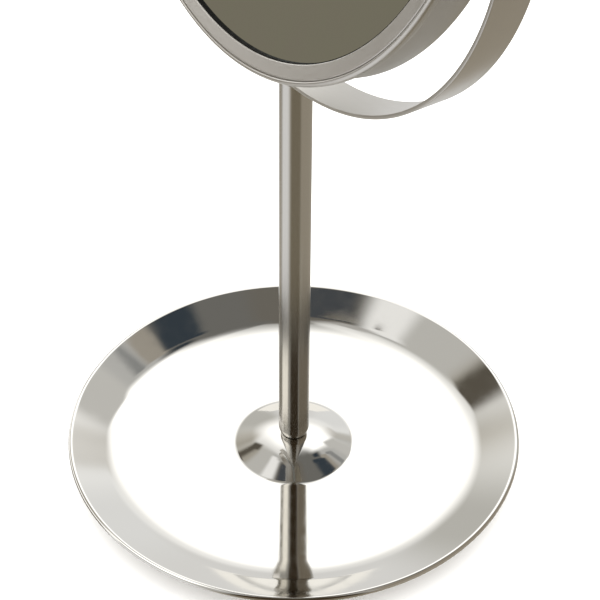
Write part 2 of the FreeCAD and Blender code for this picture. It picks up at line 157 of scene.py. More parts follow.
@dataclass(frozen=True)
class PolishedSteel(Finish):
    """Stainless sheet, pressed and then mirror polished on a mop: clear reflections with faint haze."""

    haze_mm: float = 18.0
    low_rough: float = 0.035
    high_rough: float = 0.075
    ripple_mm: float = 30.0
    ripple_depth: float = 0.02

    def surface(self, tree: bpy.types.NodeTree) -> dict[str, Any]:
        """Cloudy haze in the roughness, and the slight waviness of pressed sheet as a bump.

        Args:
            tree: The material's node tree.

        Returns:
            Shader socket name to its value, or to the pattern that feeds it.
        """
        haze_place, ripple_place = millimetres(tree, self.haze_mm), millimetres(tree, self.ripple_mm)
        haze = add_node(tree, "ShaderNodeTexNoise", {"Vector": haze_place, "Detail": 4.0})
        ripple = add_node(tree, "ShaderNodeTexNoise", {"Vector": ripple_place, "Detail": 1.0})
        bump = add_node(tree, "ShaderNodeBump", {"Height": ripple.outputs["Fac"], "Distance": 0.2 * MM,
                                                 "Strength": self.ripple_depth})
        return {"Metallic": 1.0, "Roughness": spread(tree, haze, self.low_rough, self.high_rough),
                "Normal": bump}


@dataclass(frozen=True)
class SatinSteel(Finish):
    """Stainless steel, brushed with a fine belt: soft reflections drawn out across the brush lines."""

    rough: float = 0.3
    anisotropy: float = 0.6
    brushing: Brushing = Brushing.AROUND
    line_mm: float = 0.35        # real lines are nearer 0.05 mm, too fine to show, so these are coarser
    line_long: float = 90.0
    line_depth: float = 0.1

    def surface(self, tree: bpy.types.NodeTree) -> dict[str, Any]:
        """Fine lines that follow the piece's own map, in the roughness and in a very shallow bump.

        Args:
            tree: The material's node tree.

        Returns:
            Shader socket name to its value, or to the pattern that feeds it.
        """
        tangent = add_node(tree, "ShaderNodeTangent", direction_type="UV_MAP", uv_map="UVMap")
        piece_map = add_node(tree, "ShaderNodeUVMap", uv_map="UVMap")
        fine, coarse = 1 / (self.line_mm * MM), 1 / (self.line_mm * self.line_long * MM)
        scale = (coarse, fine, 1) if self.brushing is Brushing.AROUND else (fine, coarse, 1)
        lines = add_node(tree, "ShaderNodeMapping", {"Vector": piece_map, "Scale": scale})
        grain = add_node(tree, "ShaderNodeTexNoise", {"Vector": lines, "Detail": 3.0, "Roughness": 0.6},
                         noise_dimensions="2D")
        bump = add_node(tree, "ShaderNodeBump", {"Height": grain.outputs["Fac"], "Distance": 0.02 * MM,
                                                 "Strength": self.line_depth})
        return {"Metallic": 1.0, "Roughness": spread(tree, grain, self.rough * 0.82, self.rough * 1.18),
                "Anisotropic": self.anisotropy, "Anisotropic Rotation": self.brushing.value,
                "Tangent": tangent, "Normal": bump}


@dataclass(frozen=True)
class MirrorGlass(Finish):
    """Float glass silvered on its back: a clear reflection with a faint green-grey cast."""

    wipe_mm: float = 30.0

    def surface(self, tree: bpy.types.NodeTree) -> dict[str, Any]:
        """A metal layer under the glass's own clear surface, with a trace of wiping haze.

        Args:
            tree: The material's node tree.

        Returns:
            Shader socket name to its value, or to the pattern that feeds it.
        """
        across_wipes = millimetres(tree, self.wipe_mm, (1, 1, 3))
        wipe = add_node(tree, "ShaderNodeTexNoise", {"Vector": across_wipes, "Detail": 5.0})
        return {"Metallic": 1.0, "Roughness": spread(tree, wipe, 0.004, 0.02),
                "Coat Weight": 0.5, "Coat Roughness": 0.01}


@dataclass(frozen=True)
class Moulded(Finish):
    """Moulded rubber or plastic: a matt skin with a fine grain from the tool."""

    rough: float = 0.5
    sheen: float = 0.5
    grain_mm: float = 0.4
    depth_mm: float = 0.02

    wear_mm: float = 12.0

    def surface(self, tree: bpy.types.NodeTree) -> dict[str, Any]:
        """Grain in the bump and a little unevenness in the roughness and the colour.

        Args:
            tree: The material's node tree.

        Returns:
            Shader socket name to its value, or to the pattern that feeds it.
        """
        grain_place, wear_place = millimetres(tree, self.grain_mm), millimetres(tree, self.wear_mm)
        grain = add_node(tree, "ShaderNodeTexNoise", {"Vector": grain_place, "Detail": 2.0})
        wear = add_node(tree, "ShaderNodeTexNoise", {"Vector": wear_place, "Detail": 4.0})
        bump = add_node(tree, "ShaderNodeBump", {"Height": grain.outputs["Fac"], "Strength": 0.5,
                                                 "Distance": self.depth_mm * MM})
        full = linear(self.colour)
        dark = tuple(0.8 * c for c in full[:3]) + (1.0,)
        tint = add_node(tree, "ShaderNodeMix", {"Factor": wear.outputs["Fac"], "A": dark, "B": full},
                        data_type="RGBA")
        return {"Base Color": tint.outputs["Result"], "Specular IOR Level": self.sheen, "Normal": bump,
                "Roughness": spread(tree, wear, self.rough - 0.07, self.rough + 0.07)}


@dataclass(frozen=True)
class MachinedMetal(Finish):
    """Turned, plated or blank metal of small hidden parts: fine tool marks round each axis."""

    rough: float = 0.35
    mark_mm: float = 0.3

    def surface(self, tree: bpy.types.NodeTree) -> dict[str, Any]:
        """Tool marks as a noise that is fine along Z and long across it.

        Args:
            tree: The material's node tree.

        Returns:
            Shader socket name to its value, or to the pattern that feeds it.
        """
        place = millimetres(tree, self.mark_mm, (20, 20, 1))
        marks = add_node(tree, "ShaderNodeTexNoise", {"Vector": place, "Detail": 3.0})
        bump = add_node(tree, "ShaderNodeBump", {"Height": marks.outputs["Fac"], "Strength": 0.3,
                                                 "Distance": 0.02 * MM})
        return {"Metallic": 1.0, "Roughness": spread(tree, marks, self.rough - 0.08, self.rough + 0.08),
                "Normal": bump}


POLISHED = PolishedSteel("mirror_polished_stainless", "d2d0cb", "polished_stainless")
SATIN_SLOT = "satin_stainless"
STEM_SATIN = SatinSteel("turned_satin_stainless", "c1beb8", SATIN_SLOT, rough=0.2, anisotropy=0.7)
TURNED_STEEL = MachinedMetal("turned_stainless", "c1beb8", SATIN_SLOT, rough=0.26)
BEZEL_SATIN = SatinSteel("dished_satin_stainless", "c3c0ba", SATIN_SLOT, rough=0.42, anisotropy=0.45)
BAND_SATIN = SatinSteel("belt_brushed_stainless", "c1beb8", SATIN_SLOT, rough=0.34, anisotropy=0.35)
SILVERED = MirrorGlass("silvered_float_glass", "dfe6de", "silvered_glass")
RUBBER = Moulded("moulded_black_rubber", "100e0c", "black_rubber", rough=0.7, sheen=0.15)
ACETAL = Moulded("moulded_black_acetal", "1c1c1d", "black_acetal", rough=0.42, grain_mm=0.25, depth_mm=0.008)
ABS = Moulded("moulded_grey_abs", "5c5c5a", "grey_abs", rough=0.5)
FOAM = Moulded("grey_foam_board", "77776f", "grey_foam_board", rough=0.9, grain_mm=0.6, depth_mm=0.1)
BLANK_STEEL = MachinedMetal("turned_blank_steel", "a3a09b", "plain_steel")
ZINC = MachinedMetal("zinc_plated_steel", "c4c6c8", "zinc_plated_steel", rough=0.3)
BRASS = MachinedMetal("turned_brass", "c8a55a", "brass", rough=0.3)


# ---------------------------------------------------------------- turned shapes
@dataclass
class Profile:
    """The half section of a turned piece, in millimetres, as a run of lines and arcs."""

    radius: float
    height: float
    points: list[tuple[float, float, bool]] = field(default_factory=list)

    def __post_init__(self) -> None:
        """Starts the run at its first point."""
        self.points.append((self.radius, self.height, False))

    def line(self, radius: float, height: float, hexed: bool = False) -> "Profile":
        """Goes straight to a point, with a support point near each end that keeps the shading flat.

        Args:
            radius: Where the line ends, out from the axis.
            height: Where it ends, along the axis.
            hexed: Whether the ring there is a hexagon, with radius as half its size across flats.

        Returns:
            The profile itself.
        """
        start_r, start_z, was_hexed = self.points[-1]
        length = math.hypot(radius - start_r, height - start_z)
        if length > 1.0 and hexed == was_hexed:
            near = min(0.25, length * 0.2) / length
            for share in (near, 1 - near):
                self.points.append((start_r + (radius - start_r) * share,
                                    start_z + (height - start_z) * share, hexed))
        self.points.append((radius, height, hexed))
        return self

    def arc(self, centre_r: float, centre_z: float, radius: float, height: float, step_deg: float = 6.0
            ) -> "Profile":
        """Goes the short way round a centre to a point.

        Args:
            centre_r: The centre's place out from the axis.
            centre_z: Its place along the axis.
            radius: Where the arc ends, out from the axis.
            height: Where it ends, along the axis.
            step_deg: The largest angle between two points.

        Returns:
            The profile itself.
        """
        start_r, start_z, _ = self.points[-1]
        first = math.atan2(start_z - centre_z, start_r - centre_r)
        last = math.atan2(height - centre_z, radius - centre_r)
        swing = (last - first + math.pi) % TURN - math.pi
        size = math.hypot(start_r - centre_r, start_z - centre_z)
        steps = max(3, math.ceil(abs(math.degrees(swing)) / step_deg))
        for i in range(1, steps):
            angle = first + swing * i / steps
            self.points.append((centre_r + size * math.cos(angle), centre_z + size * math.sin(angle), False))
        self.points.append((radius, height, False))
        return self


def on_arc(centre: tuple[float, float], radius: float, slope_deg: float) -> tuple[float, float]:
    """Returns the point of an arc where it slopes by an angle. A hollow arc has a negative radius."""
    slope = math.radians(slope_deg)
    return centre[0] - radius * math.sin(slope), centre[1] + radius * math.cos(slope)


def hexagon_radius(half_flats: float, angle: float) -> float:
    """Returns the distance from the middle of a hexagon to its edge at an angle."""
    return half_flats / math.cos((angle + math.pi / 6) % (math.pi / 3) - math.pi / 6)


def turned(profile: Profile, segments: int = 192, place: Matrix | None = None) -> bpy.types.Mesh:
    """Turns a half section about Z into a closed mesh with a map that runs round and along it, in metres.

    Args:
        profile: The half section. It is closed between its two ends unless they lie on the axis.
        segments: How many steps a full turn has.
        place: Where the turned shape goes in the row's frame.

    Returns:
        The mesh, smooth with its sharp edges marked.
    """
    shape = bmesh.new()
    uv = shape.loops.layers.uv.new("UVMap")
    rings: list[list[bmesh.types.BMVert]] = []
    along, spacing = 0.0, []
    previous: tuple[float, float] | None = None
    for radius, height, hexed in profile.points:
        if previous is not None:
            along += math.hypot(radius - previous[0], height - previous[1])
        previous = (radius, height)
        spacing.append(along * MM)
        if radius < ON_AXIS:
            rings.append([shape.verts.new((0, 0, height * MM))] * segments)
            continue
        ring = []
        for i in range(segments):
            angle = TURN * i / segments
            reach = (hexagon_radius(radius, angle) if hexed else radius) * MM
            ring.append(shape.verts.new((reach * math.cos(angle), reach * math.sin(angle), height * MM)))
        rings.append(ring)
    girth = max(r for r, _, _ in profile.points) * MM * TURN
    ends_on_axis = profile.points[0][0] < ON_AXIS and profile.points[-1][0] < ON_AXIS
    pairs = [(i, i + 1) for i in range(len(rings) - 1)]
    if not ends_on_axis:
        pairs.append((len(rings) - 1, 0))
    for low, high in pairs:
        top_v = spacing[high] if high else spacing[low] + MM
        for i in range(segments):
            j = (i + 1) % segments
            corners = [(rings[low][i], i, spacing[low]), (rings[low][j], i + 1, spacing[low]),
                       (rings[high][j], i + 1, top_v), (rings[high][i], i, top_v)]
            kept = [c for n, c in enumerate(corners) if c[0] is not corners[n - 1][0]]
            if len({c[0] for c in kept}) < 3:
                continue
            face = shape.faces.new([c[0] for c in kept])
            for loop, (_, step, v) in zip(face.loops, kept):
                loop[uv].uv = (girth * step / segments, v)
    bmesh.ops.recalc_face_normals(shape, faces=shape.faces[:])
    mesh = bpy.data.meshes.new("turned")
    shape.to_mesh(mesh)
    shape.free()
    if place is not None:
        mesh.transform(place)
    smooth(mesh)
    return mesh


def smooth(mesh: bpy.types.Mesh, sharp_deg: float = 32.0) -> None:
    """Shades a mesh smooth, apart from its edges that turn by more than an angle."""
    mesh.polygons.foreach_set("use_smooth", [True] * len(mesh.polygons))
    mesh.set_sharp_from_angle(angle=math.radians(sharp_deg))


def piece(name: str, mesh: bpy.types.Mesh, finish: Finish, body: str, *nodes: str) -> bpy.types.Object:
    """Makes an object of a mesh, dresses it and hands it to the frame.

    Args:
        name: The piece's name.
        mesh: Its final mesh, already in place.
        finish: Its surface.
        body: The body that it moves with.
        nodes: The nodes that it stands for.

    Returns:
        The object.
    """
    mesh.name = name
    mesh.materials.clear()
    mesh.materials.append(finish.material())
    made = bpy.data.objects.new(name, mesh)
    bpy.context.scene.collection.objects.link(made)
    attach(made, body)
    if nodes:
        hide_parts(*nodes)
    return made


def dress_node(node: str, finish: Finish) -> None:
    """Gives a carried-over node its finish.

    Args:
        node: The node's name.
        finish: Its surface.
    """
    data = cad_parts[node].data
    data.materials.clear()
    data.materials.append(finish.material())


# ---------------------------------------------------------------- shapes by rule
def new_group(name: str, inputs: dict[str, tuple[str, float | None]]
              ) -> tuple[bpy.types.NodeTree, bpy.types.Node]:
    """Starts a geometry tree with named inputs.

    Args:
        name: The tree's name.
        inputs: Input name to its socket type and first value.

    Returns:
        The tree and its input node.
    """
    tree = bpy.data.node_groups.new(name, "GeometryNodeTree")
    tree.interface.new_socket("Geometry", in_out="INPUT", socket_type="NodeSocketGeometry")
    for label, (kind, value) in inputs.items():
        socket = tree.interface.new_socket(label, in_out="INPUT", socket_type=kind)
        if value is not None:
            socket.default_value = value
    tree.interface.new_socket("Geometry", in_out="OUTPUT", socket_type="NodeSocketGeometry")
    return tree, tree.nodes.new("NodeGroupInput")


def close_group(tree: bpy.types.NodeTree, given: bpy.types.Node, shape: bpy.types.Node) -> None:
    """Ends a geometry tree with real geometry in the finish that its input names.

    Args:
        tree: The geometry tree.
        given: Its input node, with an input called Finish.
        shape: The node that makes the shape.
    """
    real = add_node(tree, "GeometryNodeRealizeInstances", {"Geometry": shape})
    dressed = add_node(tree, "GeometryNodeSetMaterial", {
        "Geometry": real, "Material": given.outputs["Finish"]})
    add_node(tree, "NodeGroupOutput", {"Geometry": dressed})


def grown(tree: bpy.types.NodeTree, mesh: bpy.types.Mesh, values: dict[str, Any]) -> bpy.types.Mesh:
    """Runs a geometry tree on a mesh and returns the plain mesh that it makes.

    Args:
        tree: The geometry tree.
        mesh: What it starts from.
        values: Input name to value.

    Returns:
        The finished mesh, with no modifier left.
    """
    carrier = bpy.data.objects.new("carrier", mesh)
    bpy.context.scene.collection.objects.link(carrier)
    modifier = carrier.modifiers.new("rule", "NODES")
    modifier.node_group = tree
    sockets = {item.name: item.identifier for item in tree.interface.items_tree if item.in_out == "INPUT"}
    for label, value in values.items():
        modifier[sockets[label]] = value
    bpy.context.view_layer.update()
    graph = bpy.context.evaluated_depsgraph_get()
    made = bpy.data.meshes.new_from_object(carrier.evaluated_get(graph))
    carrier.modifiers.clear()
    bpy.data.objects.remove(carrier)
    return made


def both_sides_tree() -> bpy.types.NodeTree:
    """Makes the tree that sets a piece made for the +X pivot at both pivots.

    Returns:
        The tree, which is made once. Its instances are turned about Z by its Turn input.
    """
    found = bpy.data.node_groups.get("at_both_pivots")
    if found:
        return found
    tree, given = new_group("at_both_pivots", {"Turn": ("NodeSocketFloat", math.pi),
                                               "Finish": ("NodeSocketMaterial", None)})
    two = add_node(tree, "GeometryNodeMeshLine", {"Count": 2, "Offset": (0, 0, 0)}, mode="OFFSET")
    number = add_node(tree, "GeometryNodeInputIndex")
    turn = add_node(tree, "ShaderNodeMath", {0: number, 1: given.outputs["Turn"]}, operation="MULTIPLY")
    about_z = add_node(tree, "ShaderNodeCombineXYZ", {"Z": turn})
    placed = add_node(tree, "GeometryNodeInstanceOnPoints", {
        "Points": two, "Instance": given.outputs["Geometry"], "Rotation": about_z})
    close_group(tree, given, placed)
    return tree


def bent_band_tree() -> bpy.types.NodeTree:
    """Makes the tree that bends a flat band to a half circle with straight, round-ended tips.

    Returns:
        The tree, with the band's sizes as inputs.
    """
    tree, given = new_group("bent_band", {
        "Bend radius": ("NodeSocketFloat", 0.1), "Width": ("NodeSocketFloat", 0.01),
        "Thickness": ("NodeSocketFloat", 0.001), "Edge radius": ("NodeSocketFloat", 0.0002),
        "Height": ("NodeSocketFloat", 0.2), "Steps": ("NodeSocketInt", 256),
        "Finish": ("NodeSocketMaterial", None)})
    radius, width = given.outputs["Bend radius"], given.outputs["Width"]
    half_width = add_node(tree, "ShaderNodeMath", {0: width, 1: 0.5}, operation="MULTIPLY")
    quarter = add_node(tree, "ShaderNodeMath", {0: radius, 1: math.pi / 2}, operation="MULTIPLY")
    half_length = add_node(tree, "ShaderNodeMath", {0: quarter, 1: half_width}, operation="ADD")
    line = add_node(tree, "GeometryNodeCurvePrimitiveLine", {"End": (1, 0, 0)})
    path = add_node(tree, "GeometryNodeResampleCurve", {"Curve": line, "Count": given.outputs["Steps"]})
    # The path's points crowd towards both ends, so that the round tips are smooth
    crowding = 0.2
    along = add_node(tree, "GeometryNodeSplineParameter").outputs["Factor"]
    centred = add_node(tree, "ShaderNodeMath", {0: along, 1: 2.0, 2: -1.0}, operation="MULTIPLY_ADD")
    wave = add_node(tree, "ShaderNodeMath", {0: centred, 1: math.pi / 2}, operation="MULTIPLY")
    crowd = add_node(tree, "ShaderNodeMath", {0: wave}, operation="SINE")
    even = add_node(tree, "ShaderNodeMath", {0: centred, 1: 1 - crowding}, operation="MULTIPLY")
    mixed = add_node(tree, "ShaderNodeMath", {0: crowd, 1: crowding, 2: even}, operation="MULTIPLY_ADD")
    moved = add_node(tree, "ShaderNodeMath", {0: mixed, 1: half_length}, operation="MULTIPLY")
    on_x = add_node(tree, "ShaderNodeCombineXYZ", {"X": moved})
    spaced = add_node(tree, "GeometryNodeSetPosition", {"Geometry": path, "Position": on_x})
    section = add_node(tree, "GeometryNodeCurvePrimitiveQuadrilateral", {
        "Width": width, "Height": given.outputs["Thickness"]}, mode="RECTANGLE")
    rounded = add_node(tree, "GeometryNodeFilletCurve", {
        "Curve": section, "Radius": given.outputs["Edge radius"], "Count": 4}, mode="POLY")
    bar = add_node(tree, "GeometryNodeCurveToMesh", {
        "Curve": spaced, "Profile Curve": rounded, "Fill Caps": True})
    split = add_node(tree, "ShaderNodeSeparateXYZ", {"Vector": add_node(tree, "GeometryNodeInputPosition")})
    x, across, thick = split.outputs
    # Round tips: the width follows a half circle over the last half width
    away = add_node(tree, "ShaderNodeMath", {0: x}, operation="ABSOLUTE")
    over = add_node(tree, "ShaderNodeMath", {0: away, 1: quarter}, operation="SUBTRACT")
    past = add_node(tree, "ShaderNodeMath", {0: over, 1: 0.0}, operation="MAXIMUM")
    part = add_node(tree, "ShaderNodeMath", {0: past, 1: half_width}, operation="DIVIDE")
    share = add_node(tree, "ShaderNodeMath", {0: part, 1: 0.9995}, operation="MINIMUM")
    square = add_node(tree, "ShaderNodeMath", {0: share, 1: share}, operation="MULTIPLY")
    rest = add_node(tree, "ShaderNodeMath", {0: 1.0, 1: square}, operation="SUBTRACT")
    taper = add_node(tree, "ShaderNodeMath", {0: rest}, operation="SQRT")
    narrowed = add_node(tree, "ShaderNodeMath", {0: across, 1: taper}, operation="MULTIPLY")
    # The bend: the straight bar's length becomes an angle, and what is left over runs straight up
    turn = add_node(tree, "ShaderNodeMath", {0: x, 1: radius}, operation="DIVIDE")
    capped = add_node(tree, "ShaderNodeMath", {0: turn, 1: math.pi / 2}, operation="MINIMUM")
    angle = add_node(tree, "ShaderNodeMath", {0: capped, 1: -math.pi / 2}, operation="MAXIMUM")
    reach = add_node(tree, "ShaderNodeMath", {0: radius, 1: thick}, operation="SUBTRACT")
    sine = add_node(tree, "ShaderNodeMath", {0: angle}, operation="SINE")
    cosine = add_node(tree, "ShaderNodeMath", {0: angle}, operation="COSINE")
    bent_x = add_node(tree, "ShaderNodeMath", {0: sine, 1: reach}, operation="MULTIPLY")
    drop = add_node(tree, "ShaderNodeMath", {0: cosine, 1: reach}, operation="MULTIPLY")
    level = add_node(tree, "ShaderNodeMath", {0: given.outputs["Height"], 1: drop}, operation="SUBTRACT")
    bent_z = add_node(tree, "ShaderNodeMath", {0: level, 1: past}, operation="ADD")
    bent = add_node(tree, "ShaderNodeCombineXYZ", {"X": bent_x, "Y": narrowed, "Z": bent_z})
    flat = add_node(tree, "ShaderNodeCombineXYZ", {"X": x, "Y": across})
    stored = add_node(tree, "GeometryNodeStoreNamedAttribute", {
        "Geometry": bar, "Name": "UVMap", "Value": flat}, data_type="FLOAT2", domain="CORNER")
    placed = add_node(tree, "GeometryNodeSetPosition", {"Geometry": stored, "Position": bent})
    close_group(tree, given, placed)
    return tree


# ---------------------------------------------------------------- sub-assemblies
@dataclass
class Foot:
    """The tray foot: polished tray, weight, rubber pad, and the bolt with its washers."""

    rim_r: float = 75.0
    rim_z: float = 12.0
    bead_r: float = 1.0
    rim_slope: float = 24.7
    bend_r: float = 25.0
    floor_z: float = 4.75
    crown_slope: float = 3.0
    sheet: float = 1.0
    foot_r: float = 5.0
    mound_slope: float = 22.0
    nose_r: float = 38.0
    top_z: float = 10.45
    seat_r: float = 4.2
    hole_r: float = 2.6
    pad_r: float = 57.0
    pad_t: float = 1.5
    pad_round: float = 0.4
    weight_r: float = 58.0
    boss_r: float = 7.6
    boss_z: float = 8.2
    boss_top_r: float = 3.9
    shank_bore_r: float = 2.7
    head_bore_r: float = 5.6
    head_seat_z: float = 7.3
    body: str = "base_and_stem"

    def centres(self) -> tuple[tuple[float, float], ...]:
        """Works out where the tray's arcs have their centres.

        Returns:
            The centres of nose, mound's foot, crowned floor, bend and bead, each as radius and height.
        """
        rim, mound, crown = (math.radians(a) for a in (self.rim_slope, self.mound_slope, self.crown_slope))
        bead = (self.rim_r - self.bead_r, self.rim_z - self.bead_r)
        rim_offset = math.cos(rim) * bead[1] - math.sin(rim) * bead[0] + self.bead_r
        bend_z = self.floor_z + self.bend_r
        low_r = (math.cos(rim) * bend_z - rim_offset - self.bend_r) / math.sin(rim)
        nose_z = self.top_z - math.sqrt(self.nose_r ** 2 - self.seat_r ** 2)
        mound_offset = math.cos(mound) * nose_z + self.nose_r
        reach = mound_offset + self.foot_r - math.sin(mound) * (low_r + self.foot_r * math.sin(crown))
        reach -= math.cos(mound) * (self.floor_z + self.foot_r * math.cos(crown))
        crown_r = reach / (math.cos(mound) * (1 - math.cos(crown)) - math.sin(mound) * math.sin(crown))
        step = crown_r - self.foot_r
        foot = (low_r - step * math.sin(crown), self.floor_z + crown_r - step * math.cos(crown))
        return (0.0, nose_z), foot, (low_r, self.floor_z + crown_r), (low_r, bend_z), bead

    def tray(self) -> bpy.types.Mesh:
        """Makes the pressing: seat, mound, crowned floor, bend, and a sloping rim that ends in a bead.

        Returns:
            The mesh.
        """
        nose, foot, crown, bend, bead = self.centres()
        crown_r, t, bead_r = crown[1] - self.floor_z, self.sheet, self.bead_r
        low = self.top_z - t
        under_r = math.sqrt((self.nose_r - t) ** 2 - (low - nose[1]) ** 2)
        shape = Profile(self.hole_r, self.top_z).line(self.seat_r, self.top_z)
        shape.arc(*nose, *on_arc(nose, self.nose_r, -self.mound_slope), 0.8)
        shape.line(*on_arc(foot, -self.foot_r, -self.mound_slope))
        shape.arc(*foot, *on_arc(foot, -self.foot_r, -self.crown_slope), 0.8)
        shape.arc(*crown, *on_arc(crown, -crown_r, 0), 0.1)
        shape.arc(*bend, *on_arc(bend, -self.bend_r, self.rim_slope), 0.8)
        shape.line(*on_arc(bead, bead_r, self.rim_slope))
        shape.arc(*bead, *on_arc(bead, bead_r, -90), 8).arc(*bead, *on_arc(bead, bead_r, -180), 8)
        shape.arc(*bead, *on_arc(bead, bead_r, 90 + self.rim_slope), 10)
        shape.line(*on_arc(bend, -self.bend_r - t, self.rim_slope))
        shape.arc(*bend, *on_arc(bend, -self.bend_r - t, 0), 2)
        shape.arc(*crown, *on_arc(crown, -crown_r - t, -self.crown_slope), 0.5)
        shape.arc(*foot, *on_arc(foot, -self.foot_r - t, -self.mound_slope), 3)
        shape.line(*on_arc(nose, self.nose_r - t, -self.mound_slope))
        shape.arc(*nose, under_r, low, 4)
        return turned(shape.line(self.hole_r, low), 288)

    def pad(self) -> bpy.types.Mesh:
        """Makes the pad: a disc with a rounded edge and shallow moulded rings underneath.

        Returns:
            The mesh.
        """
        rings, depth, half_wide = 7, 0.35, 0.8
        section = Profile(0, 0)
        for i in range(1, rings + 1):
            at = self.pad_r * i / (rings + 1.0)
            section.line(at - half_wide, 0).line(at - half_wide * 0.6, depth)
            section.line(at + half_wide * 0.6, depth).line(at + half_wide, 0)
        edge_r = self.pad_r - self.pad_round
        section.line(edge_r, 0).arc(edge_r, self.pad_round, self.pad_r, self.pad_round, 20)
        section.line(self.pad_r, self.pad_t).line(0, self.pad_t)
        return turned(section, 160)

    def weight(self) -> bpy.types.Mesh:
        """Makes the weight: a disc with broken edges and a boss that fills the tray's raised middle.

        Returns:
            The mesh.
        """
        low_edge, high_edge = 0.8, 0.3
        top, boss_top = self.floor_z - self.sheet, self.top_z - self.sheet
        section = Profile(self.head_bore_r, self.pad_t).line(self.weight_r - low_edge, self.pad_t)
        section.line(self.weight_r, self.pad_t + low_edge).line(self.weight_r, top - high_edge)
        section.line(self.weight_r - high_edge, top).line(self.boss_r, top).line(self.boss_r, self.boss_z)
        section.line(self.boss_top_r, boss_top).line(self.shank_bore_r, boss_top)
        section.line(self.shank_bore_r, self.head_seat_z).line(self.head_bore_r, self.head_seat_z)
        return turned(section, 160)

    def build(self) -> int:
        """Makes the foot's pieces and dresses the fasteners under it.

        Returns:
            How many pieces were made or dressed.
        """
        piece("tray_foot", self.tray(), POLISHED, self.body, "base_dish")
        piece("foot_pad", self.pad(), RUBBER, self.body, "base_pad")
        piece("foot_weight", self.weight(), BLANK_STEEL, self.body, "base_weight")
        fasteners = ("stem_bolt", "stem_bolt_washer", "stem_bolt_spring_washer")
        for node in fasteners:
            dress_node(node, ZINC)
        return 3 + len(fasteners)


@dataclass
class Stem:
    """The outer tube with its foot plug and guide bush, and the inner tube that runs in it."""

    tube_r: float = 5.0
    wall: float = 0.75
    foot_z: float = 10.45
    foot_r: float = 3.9
    round_h: float = 3.0
    joint_gap: float = 0.2
    top_z: float = 151.4
    bush_recess: float = 0.2
    bush_l: float = 13.0
    inner_r: float = 3.5
    inner_low: float = 32.0
    inner_top: float = 151.7
    fixed: str = "base_and_stem"
    moving: str = "yoke_and_inner_tube"

    def spun(self, section: Profile, radius: float, foot: float, down: bool) -> None:
        """Adds the tube's spun-in foot, which stands clear of its seat by a hair, to a section.

        Args:
            section: The section to add to.
            radius: The tube's radius above the foot.
            foot: Its radius at the foot.
            down: Whether the section runs downwards here.
        """
        run, low = radius - foot, self.foot_z + self.joint_gap
        arc_r = (run ** 2 + self.round_h ** 2) / (2 * run)
        top = low + self.round_h
        if down:
            section.line(radius, top).arc(radius - arc_r, top, foot, low, 2)
        else:
            section.line(foot, low).arc(radius - arc_r, top, radius, top, 4)

    def tube(self) -> bpy.types.Mesh:
        """Makes the outer tube, with a broken edge at its mouth and a spun-in foot.

        Returns:
            The mesh.
        """
        bore, edge = self.tube_r - self.wall, 0.15
        section = Profile(self.tube_r - edge, self.top_z).line(self.tube_r, self.top_z - edge)
        self.spun(section, self.tube_r, self.foot_r, True)
        self.spun(section, bore, self.foot_r - self.wall, False)
        return turned(section.line(bore, self.top_z), 160)

    def bush(self) -> bpy.types.Mesh:
        """Makes the guide bush, a plain barrel pressed into the tube a little below its mouth.

        Returns:
            The mesh.
        """
        bore, barrel, top = self.inner_r + 0.06, self.tube_r - self.wall, self.top_z - self.bush_recess
        section = Profile(bore, self.top_z - self.bush_l).line(barrel, self.top_z - self.bush_l)
        return turned(section.line(barrel, top).line(bore, top), 128)

    def inner(self) -> bpy.types.Mesh:
        """Makes the inner tube.

        Returns:
            The mesh.
        """
        bore = self.inner_r - self.wall
        section = Profile(bore, self.inner_low).line(self.inner_r, self.inner_low)
        return turned(section.line(self.inner_r, self.inner_top).line(bore, self.inner_top), 128)

    def build(self) -> int:
        """Makes the tubes and the bush, and dresses what is inside them.

        Returns:
            How many pieces were made or dressed.
        """
        piece("stem_outer_tube", self.tube(), STEM_SATIN, self.fixed, "stem_tube")
        piece("stem_guide_bush", self.bush(), ACETAL, self.fixed, "guide_bush")
        piece("stem_inner_tube", self.inner(), STEM_SATIN, self.moving, "inner_tube")
        inside = {"stem_foot_plug": BLANK_STEEL, "friction_glide": ACETAL, "inner_tube_end_plug": BLANK_STEEL,
                  "glide_retaining_ring": ZINC, "inner_tube_top_plug": TURNED_STEEL, "yoke_screw": ZINC,
                  "yoke_saddle_washer": ZINC}
        for node, finish in inside.items():
            dress_node(node, finish)
        return 3 + len(inside)


@dataclass
class Yoke:
    """The flat band that carries the head."""

    outer_r: float = 95.19
    thickness: float = 1.2
    width: float = 12.32
    edge_r: float = 0.22
    centre_z: float = 249.18
    body: str = "yoke_and_inner_tube"

    def build(self) -> int:
        """Bends the band by its tree.

        Returns:
            How many pieces were made.
        """
        mesh = grown(bent_band_tree(), bpy.data.meshes.new("band"), {
            "Bend radius": (self.outer_r - self.thickness / 2) * MM, "Width": self.width * MM,
            "Thickness": self.thickness * MM, "Edge radius": self.edge_r * MM, "Height": self.centre_z * MM,
            "Steps": 320, "Finish": BAND_SATIN.material()})
        smooth(mesh, 40)
        piece("yoke_band", mesh, BAND_SATIN, self.body, "yoke")
        return 1


